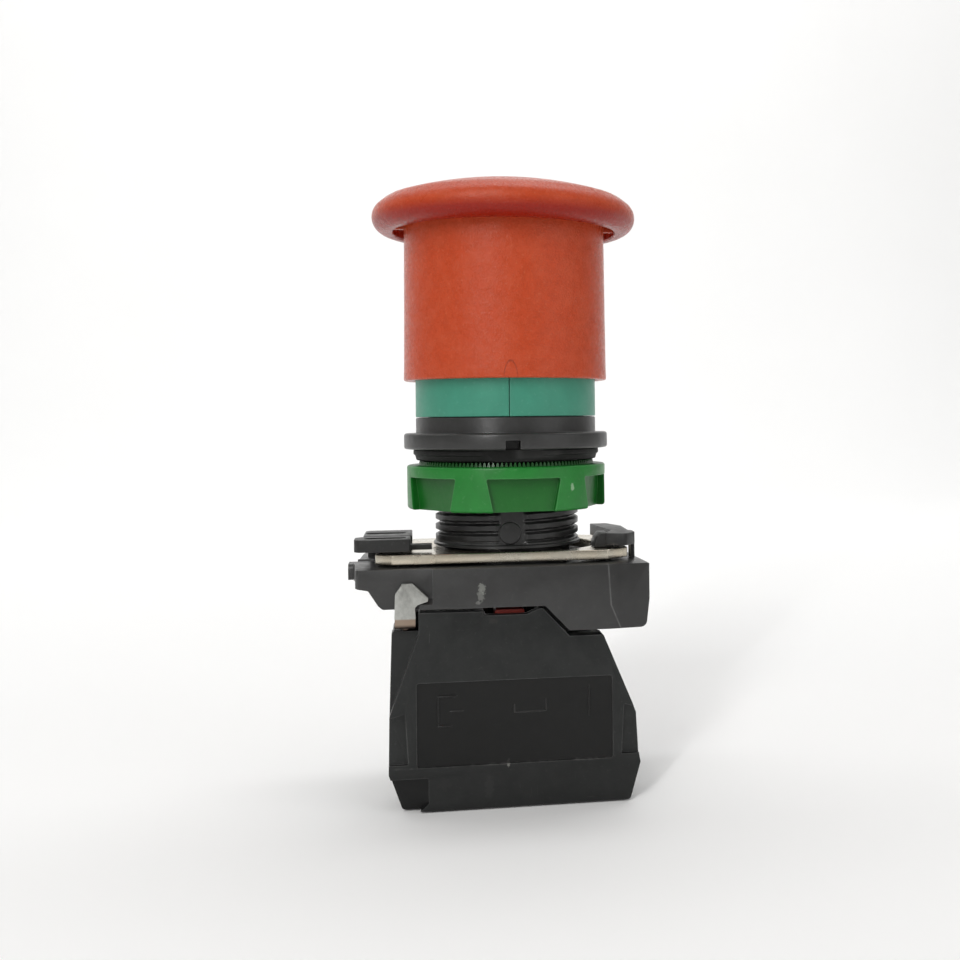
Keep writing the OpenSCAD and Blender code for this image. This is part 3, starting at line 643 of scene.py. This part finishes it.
# sloping catch under the latch barb
cut(col, prism([(-16.0, -19.05), (-13.8, -19.05), (-13.8, -19.25), (-15.2, -20.05), (-16.0, -20.2)], -13.46, -11.6, "x"))
for m in (1, -1):
    w = prism([(13.9, -15.02), (21.0, -14.0), (21.0, -16.5), (13.9, -16.5)], -26, -14, "z")
    if m < 0:
        w.data.transform(Matrix.Scale(-1, 4, (0, 1, 0)))
        tidy(w, False)
    cut(col, w)
bevel(col, 0.2, 2, 26)
piece(col, "collar_body", "operator", COLLAR, ["collar_frame"], sharp=30)

lug = prism(fillet([(-22.0, -11, .9), (-14.7, -11, .3), (-14.7, -6, .3), (-21.9, -6, .5), (-22.7, -6.9, .6), (-22.7, -10.1, .9)], 0, 4), -12.8, -11.0, "z")
lug2 = prism(fillet([(-21.0, -5.5, .5), (-14.5, -5.5, .3), (-14.5, 4, .3), (-21.0, 4, .5), (-21.6, 3.2, .5), (-21.6, -4.7, .6)], 0, 4), -12.8, -11.0, "z")
add(lug, lug2, box((-19.5, -6.2, -12.8), (-16.4, -5.3, -11.6)), box((-15.0, -8.9, -12.8), (-11.6, -8.1, -12.05)), box((-15.0, -7.3, -12.8), (-11.6, -6.6, -12.05)),
    box((-21.3, 3.2, -14.99), (-19.9, 8.4, -12.7)), box((-21.3, 3.2, -12.8), (-16.4, 8.4, -11.6)))
for px, py in ((-18.3, -8.6), (-18.4, -0.8)):
    cut(lug, rbox((px - 3.0, py - 1.1, -11.75), (px + 3.0, py + 1.1, -10), 1.05, "z"))
bevel(lug, 0.16, 2, 32)
piece(lug, "collar_lugs", "operator", LUG, ["guide_lugs_left"], sharp=32)

ear = prism(fillet([(13.9, -9.4, .25), (16.9, -10.6, .5), (18.6, -8.2, .4), (18.6, -5.6, .2), (18.1, -5.2, .2), (18.25, 2.3, .4), (16.6, 7.4, .3), (13.9, 7.2, .2), (15.6, -4.5, .3)], 0, 4), -12.8, -11.0, "z")
add(ear, prism([(12.35, -13.08), (12.75, -11.75), (13.35, -11.12), (14.4, -11.05), (14.9, -12.0), (14.9, -13.08)], -8.9, -4.3, "y"))
add(ear, box((18.0, -8.0, -14.99), (18.6, -5.8, -12)), box((16.0, 6.6, -14.99), (17.4, 9.8, -11.4)))
bevel(ear, 0.16, 2, 32)
piece(ear, "collar_ear", "operator", LUG, ["guide_ear_right"], sharp=32)

plate = prism(fillet([(-17.3, -12.0, .8), (13.9, -12.0, .6), (17.4, -8.9, 1.2), (17.4, 1.0, 1.5), (15.6, 6.6, 1.5), (14.6, 11.0, .8), (12.6, 12.0, .6), (-15.8, 12.0, .6), (-17.0, 10.8, .6),
                      (-17.0, 1.5, .4), (-19.7, 0.5, .6), (-19.7, -10.0, .6)], 0, 5), -14.62, -13.2, "z")
hole = cyl((0, 0, -15), 9.9, 3, "z", 96)
boolean(hole, cyl((2.5, 0, -15), 11.15, 3, "z", 96), "UNION")
cut(plate, hole)
bevel(plate, 0.2, 3, 32)
piece(plate, "lock_slider_plate", "lock", NICKEL, ["lock_plate"], sharp=30)

tab = rbox((-23.9, -4.05, -17.6), (-17.9, 0.05, -15.2), 0.7, "x")
add(tab, box((-19.4, -3.6, -15.4), (-17.9, -0.4, -14.42)))
for i in range(3):
    cut(tab, box((-24.2, -3.3 + i * 1.1, -18), (-23.6, -2.9 + i * 1.1, -15)))
bevel(tab, 0.14, 2, 32)
piece(tab, "lock_thumb_tab", "lock", COLLAR, ["lock_tab"], sharp=32)

# ------------------------------------------------------------------ latch hook (stamped, bent)
hook = prism(fillet([(-16.73, -18.35, .3), (-15.72, -16.87, .15), (-14.29, -16.87, .12), (-12.12, -18.95, .22), (-12.19, -19.43, .12), (-13.59, -19.88, .1), (-13.98, -20.26, .3),
                     (-13.9, -21.76, 0), (-13.93, -22.0, 0), (-16.8, -22.0, 0), (-16.83, -21.64, 0)], 0, 4), -15.25, -14.5, "y")
bend = [(-15.25, -21.6)] + [(-14.25 - 1.0 * math.cos(rad(t)), -22.3 - 1.0 * math.sin(rad(t))) for t in range(0, 91, 9)] + [(-11.2, -23.3), (-11.2, -22.55)] \
    + [(-14.25 - 0.27 * math.cos(rad(t)), -22.3 - 0.25 * math.sin(rad(t))) for t in range(90, -1, -15)] + [(-14.5, -21.6)]
foot = prism(bend, -16.8, -13.93, "x")
add(hook, foot)
bevel(hook, 0.13, 2, 34)
eye = lathe(fillet([(0.45, -1.6), (0.74, -1.6, .12), (0.74, 0.9, .12), (0.45, 0.9)], 0, 3), 40, name="eye")
eye.data.transform(Matrix.Translation((-15.35, -12.85, -22.9)) @ Matrix.Rotation(rad(90), 4, "X"))
hook = join([hook, eye])
hook.data.transform(Matrix.Translation((-0.12, 0, 0.0)))
piece(hook, "latch_hook_stamped", "latch", HOOK, ["latch_hook"], sharp=32)
pin = lathe(fillet([(0, -2.65), (0.4, -2.65, .12), (0.4, 2.65, .12), (0, 2.65)], 0, 3), 32, name="pin")
pin.data.transform(Matrix.Translation((-15.35, -9.75, -22.9)) @ Matrix.Rotation(rad(90), 4, "X"))
piece(pin, "latch_pivot", "operator", ZINC, ["latch_pin"])

# ------------------------------------------------------------------ contact block
Y0, Y1 = -15.0, -5.0
YC = -10.0
TX, TZ = 9.7, -43.6
right_side = [(-4.6, -21.18, .1), (-4.5, -21.75, .1), (1.6, -21.75, .2), (3.5, -20.98, .15), (4.0, -21.0, .2), (7.75, -25.1, .25), (12.7, -25.1, .3),
              (17.45, -36.6, 1.2), (17.75, -42.6, .3), (17.95, -43.7, .4), (16.4, -49.07, .5), (-12.1, -49.1, .3), (-14.1, -49.0, .3), (-16.1, -49.0, .5),
              (-17.95, -43.7, .5), (-17.8, -35.6, 1.2)]
face = fillet([(-13.62, -21.05, .3)] + right_side + [(-13.87, -24.7, .3), (-13.62, -24.2, .2)], 0, 4)
back = fillet([(-13.62, -21.05, .3)] + right_side + [(-17.4, -23.8, .4), (-13.62, -23.8, .1)], 0, 4)
case_o = fillet([(-13.6, -21.2, .3), (-4.6, -21.3, .1), (-4.5, -22.0, .1), (1.7, -22.0, .2), (3.4, -21.0, .2), (4.45, -21.0, .1), (8.05, -24.8, .2), (12.6, -25.2, .5),
                 (17.2, -36.7, 1.2), (17.5, -42.6, .3), (17.5, -43.7, .5), (16.2, -48.9, .5), (-16.0, -48.9, .5), (-17.5, -43.7, .5), (-17.3, -23.8, .4), (-13.6, -23.8, .1)], 0, 4)


def room(ya, yb):
    out = [box((-4.2, ya, -40.6), (3.4, yb, -20)), box((-8.6, ya, -40.6), (8.6, yb, -30.9)), box((-3.4, ya, -47.4), (2.6, yb, -40))]
    for s in (-1, 1):
        lo, hi = sorted((s * 3.0, s * 12.5))
        out.append(box((lo, ya, -31.0), (hi, yb, -29.8)))
        lo, hi = sorted((s * 8.2, s * 12.5))
        out.append(box((lo, ya, -42.8), (hi, yb, -30.9)))
        lo, hi = sorted((s * 6.4, s * 12.95))
        out.append(box((lo, ya, -48.3), (hi, yb, TZ + 1.3)))
        lo, hi = sorted((s * 12.9, s * 18.9))
        out.append(rbox((lo, ya, -48.3), (hi, yb, TZ), 0.3, "x"))
        out.append(cyl((s * TX, YC, -50), 3.0, 5, "z", 64))
    return out


cover = prism(face, Y0, Y0 + 1.65, "y")
boolean(cover, prism(back, Y0 + 1.6, Y0 + 4.2, "y"), "UNION")
for c in room(Y0 + 1.8, Y0 + 5):
    cut(cover, c)
cut(cover, rbox((-14.0, Y0 - 1, -42.9), (13.9, Y0 + 0.3, -31.0), 0.35, "y"))
for s in (-1, 1):
    pk = [(s * 15.6, -35.2), (s * 17.0, -35.6), (s * 19, -36), (s * 19, -42.4), (s * 15.2, -42.4)]
    cut(cover, prism(fillet(pk, .2), Y0 - 1, Y0 + 0.7, "y"))
cut(cover, prism(fillet([(-18.5, -44.4, 0), (-12.4, -44.4, .25), (-12.4, -48.0, .3), (-14.1, -49.5, .2), (-18.5, -49.5, 0)], 0, 4), Y0 - 1, Y0 + 1.45, "y"))
bevel(cover, 0.16, 2, 30)
piece(cover, "block_front_shell", "operator", BLOCK, ["block_cover"], sharp=30)


def bar(x0, z0, x1, z1, w=0.32, h=0.24):
    """Raised line with a rounded top in the label recess."""
    d = Vector((x1 - x0, z1 - z0))
    L = d.length
    a = math.atan2(d.y, d.x)
    prof = []
    n = 6
    out_v, out_f = [], []
    ring = [(w / 2 * math.cos(rad(t)), h * math.sin(rad(t))) for t in range(0, 181, 30)]
    for k in range(n + 1):
        s0 = -w / 2 + (L + w) * k / n
        fade = min(1.0, (s0 + w / 2) / (w / 2) if k < n / 2 else (L + w / 2 - s0) / (w / 2))
        fade = max(0.15, fade)
        for q, hh in ring:
            lx, lz = s0, q * fade
            out_v.append((x0 + lx * math.cos(a) - lz * math.sin(a), Y0 + 0.32 - hh * fade, z0 + lx * math.sin(a) + lz * math.cos(a)))
    m = len(ring)
    for k in range(n):
        for j in range(m - 1):
            out_f.append([k * m + j, k * m + j + 1, (k + 1) * m + j + 1, (k + 1) * m + j])
        out_f.append([k * m + m - 1, k * m, (k + 1) * m, (k + 1) * m + m - 1])
    out_f.append(list(range(m)))
    out_f.append([n * m + j for j in range(m)][::-1])
    return mesh_obj("bar", out_v, out_f)


sym = [bar(-11.0, -33.05, -11.0, -37.25), bar(-11.0, -33.05, -8.4, -32.98), bar(-11.0, -37.25, -9.2, -37.2), bar(-9.3, -35.2, -7.5, -35.15, 0.28, 0.14),
       bar(10.55, -32.3, 10.5, -36.6), bar(-0.2, -35.75, 4.3, -35.7, 0.26, 0.10), bar(4.3, -34.0, 4.35, -35.6, 0.26, 0.12), bar(-0.2, -34.6, -0.2, -35.7, 0.26, 0.08)]
piece(join(sym), "block_face_symbol", "operator", SYMBOL, [], sharp=60)

case = prism(case_o, Y0 + 4.22, Y1, "y")
add(case, rbox((-16.4, Y1 - 4.45, -24.2), (-13.4, Y1 - 0.4, -21.7), 0.3, "y"))
for c in room(Y0 + 4, Y1 - 1.6):
    cut(case, c)
cut(case, box((-3.5, Y0 + 4, -29.5), (2.4, Y1 - 0.6, -20)))
cut(case, cyl((-15.35, -16, -22.9), 0.42, 9, "y", 24))
for x0, x1, z0, z1 in ((-12, 10, -42.0, -31.0), (-9.5, 2.5, -28.5, -24.5)):
    cut(case, rbox((x0, Y1 - 0.25, z0), (x1, Y1 + 1, z1), 0.4, "y"))
bevel(case, 0.16, 2, 30)
piece(case, "block_rear_shell", "operator", BLOCK, ["block_case"], sharp=30)

pl = rbox((-2.5, -7.6, -22.5), (1.5, -6.0, -12.8), 0.25, "z")
add(pl, rbox((-2.7, -12.4, -30.2), (1.5, -7.0, -21.4), 0.25, "y"), box((-2.7, -12.4, -38.2), (1.5, -7.6, -30)))
cut(pl, box((-4, -11.3, -36.4), (3, -8.7, -31.6)))
add(pl, cyl((-0.6, YC, -39.2), 1.2, 1.4, "z", 32))
bevel(pl, 0.12, 2, 32)
piece(pl, "red_plunger", "plunger", PLUNGER, ["block_plunger"])

# ------------------------------------------------------------------ springs, contacts and screws


def helix(r, wire, z0, h, turns, seg=40, sides=12, closed_ends=1.0):
    n = int(turns * seg)
    v, f = [], []
    for i in range(n + 1):
        t = i / n
        a = 2 * math.pi * turns * t
        e = closed_ends / turns
        u = 0.0 if t < e * 0 else t
        z = z0 + wire + (h - 2 * wire) * u
        for j in range(sides):
            b = 2 * math.pi * j / sides
            rr = r + wire * math.cos(b)
            v.append((rr * math.cos(a), rr * math.sin(a), z + wire * math.sin(b)))
    for i in range(n):
        for j in range(sides):
            k = (j + 1) % sides
            f.append([i * sides + j, (i + 1) * sides + j, (i + 1) * sides + k, i * sides + k])
    f.append(list(range(sides)))
    f.append([n * sides + j for j in range(sides)][::-1])
    return mesh_obj("helix", v, f)


coil = piece(helix(7.8, 0.58, -3.17, 33.1, 7), "return_coil", "operator", SPRING, ["return_spring"], sharp=60)
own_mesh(coil)
h = helix(1.1, 0.21, 0, 5.5, 7, 20, 8)
h.data.transform(Matrix.Translation((-17.83, -2.0, -16.35)) @ Matrix.Rotation(rad(90), 4, "Y"))
piece(h, "lock_coil", "operator", SPRING, ["lock_spring"], sharp=60)
h = helix(0.95, 0.14, 0, 3.1, 5, 20, 8)
h.data.transform(Matrix.Translation((-0.6, YC, -36.35)))
piece(h, "contact_coil", "plunger", SPRING, ["contact_spring"], sharp=60)
h = helix(1.75, 0.21, 0, 9.0, 7, 24, 8)
h.data.transform(Matrix.Translation((-0.6, YC, -47.36)))
coil = piece(h, "plunger_coil", "operator", SPRING, ["plunger_spring"], sharp=60)
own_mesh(coil)

for s, nm in ((-1, "left"), (1, "right")):
    hd = lathe(fillet([(0, -48.4), (1.9, -48.4, .6), (2.6, -48.0, .35), (2.6, -46.45, .12), (1.5, -46.42, 0), (1.5, -41.6, .0), (1.2, -41.22, 0), (0, -41.22)], 0, 4), 72, name="screw")
    cut(hd, box((-0.36, -2.05, -49), (0.36, 2.05, -47.4)), box((-2.05, -0.36, -49), (2.05, 0.36, -47.4)))
    tidy(hd, False)
    hd.data.transform(Matrix.Translation((s * TX, YC, 0)) @ Matrix.Rotation(rad(20 * s), 4, "Z"))
    piece(hd, "clamp_screw_" + nm, "screw_" + nm, ZINC, ["terminal_screw_" + nm])

CAD_MATS = {"pusher_stem": NYLON, "stem_clip": SPRING, "stem_seal": RUBBER, "detent_spring": SPRING, "contact_bridge": COPPER, "moving_contact_tips": SILVER,
            "fixed_contact_left": BRASS, "fixed_contact_right": BRASS, "fixed_contact_tips": SILVER, "terminal_clamp_left": ZINC, "terminal_clamp_right": ZINC}
for nd, mat in CAD_MATS.items():
    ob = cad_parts[nd]
    ob.data.materials.clear()
    ob.data.materials.append(mat)

# ------------------------------------------------------------------ stage
floor_z = CAD_BOX[0][2] - 0.0002


def sweep():
    v, f = [], []
    prof = [(-1.6, 0.0)] + [(0.55, 0.0)] + [(0.55 + 0.35 * math.sin(rad(t)), 0.35 - 0.35 * math.cos(rad(t))) for t in range(6, 91, 6)] + [(0.9, 1.6)]
    for y, z in prof:
        v += [(-1.8, y, floor_z + z), (1.8, y, floor_z + z)]
    for i in range(len(prof) - 1):
        f.append([2 * i, 2 * i + 1, 2 * i + 3, 2 * i + 2])
    ob = mesh_obj("studio_floor", v, f)
    if ob.data.polygons[0].normal.z < 0:
        ob.data.flip_normals()
    ob.data.shade_smooth()
    g = G("floor_paper")
    c = g.mix(g.ramp(g.noise(6.0, 2.0), 0.3, 0.7), (0.955, 0.955, 0.95), (0.97, 0.97, 0.965))
    g.link(c, g.b.inputs["Base Color"])
    g.b.inputs["Roughness"].default_value = 0.85
    g.b.inputs["Specular IOR Level"].default_value = 0.15
    clear = g.n("BsdfTransparent").outputs[0]
    one = g.n("MixShader", {0: g.n("NewGeometry").outputs["Backfacing"], 1: g.b.outputs[0], 2: clear})
    g.link(one.outputs[0], g.out.inputs[0])
    ob.data.materials.append(g.m)
    return ob


sweep()
w = bpy.data.worlds.new("studio")
bpy.context.scene.world = w
w.use_nodes = True
t = w.node_tree
t.nodes.clear()
wo = t.nodes.new("ShaderNodeOutputWorld")
bg = t.nodes.new("ShaderNodeBackground")
tc = t.nodes.new("ShaderNodeTexCoord")
sep = t.nodes.new("ShaderNodeSeparateXYZ")
t.links.new(tc.outputs["Generated"], sep.inputs[0])
rp = t.nodes.new("ShaderNodeValToRGB")
rp.color_ramp.elements[0].position = 0.30
rp.color_ramp.elements[0].color = (0.60, 0.56, 0.52, 1)
rp.color_ramp.elements[1].position = 0.85
rp.color_ramp.elements[1].color = (1.0, 1.0, 1.0, 1)
mr = t.nodes.new("ShaderNodeMapRange")
mr.inputs["From Min"].default_value = -1.0
t.links.new(sep.outputs[2], mr.inputs["Value"])
t.links.new(mr.outputs[0], rp.inputs[0])
t.links.new(rp.outputs[0], bg.inputs[0])
bg.inputs[1].default_value = 0.33
t.links.new(bg.outputs[0], wo.inputs[0])


def area(name, loc, target, size, power, color=(1, 1, 1)):
    li = bpy.data.lights.new(name, "AREA")
    li.shape = "RECTANGLE"
    li.size, li.size_y = size
    li.energy = power
    li.color = color
    ob = bpy.data.objects.new(name, li)
    COL.objects.link(ob)
    ob.location = loc
    d = Vector(target) - Vector(loc)
    ob.rotation_euler = d.to_track_quat("-Z", "Y").to_euler()
    return ob


area("key", (-0.22, -0.42, 0.42), (0, 0, 0), (0.14, 0.26), 0.85, (1.0, 0.99, 0.97))
area("top", (0.10, 0.15, 0.60), (0, 0, 0), (0.5, 0.5), 0.55)
area("strip", (-0.325, -0.66, 0.30), (0, 0, 0.01), (0.015, 0.36), 1.5)
area("backdrop", (0.0, 0.30, 0.75), (0, 0.85, 0.12), (1.6, 0.4), 5.5)
area("fill", (0.45, -0.35, 0.10), (0, 0, -0.01), (0.35, 0.5), 0.42)

# camera at the photograph's viewing angle
psi, al, rho = rad(4.0), rad(9.5), rad(0.55)
cam = bpy.data.cameras.new("cam")
cam.sensor_width = 36.0
cam.lens = 44.79
cam.shift_x = -0.1470
cam.shift_y = -0.0650
cam.clip_start = 0.01
cam.clip_end = 20
cam.dof.use_dof = False
co = bpy.data.objects.new("cam", cam)
COL.objects.link(co)
rt = Vector((math.cos(al), -math.sin(al), 0))
fw = Vector((math.sin(al), math.cos(al), 0))
up = Vector((0, 0, 1))
X = rt * math.cos(rho) - up * math.sin(rho)
Yv = rt * math.sin(rho) + up * math.cos(rho)
M = Matrix((X, Yv, -fw)).transposed().to_4x4()
M.translation = Vector((-0.186 * math.sin(psi), -0.186 * math.cos(psi), 0.0062))
co.matrix_world = M
bpy.context.scene.camera = co
vs = bpy.context.scene.view_settings
vs.view_transform = "Standard"
vs.look = "None"

bpy.context.view_layer.update()
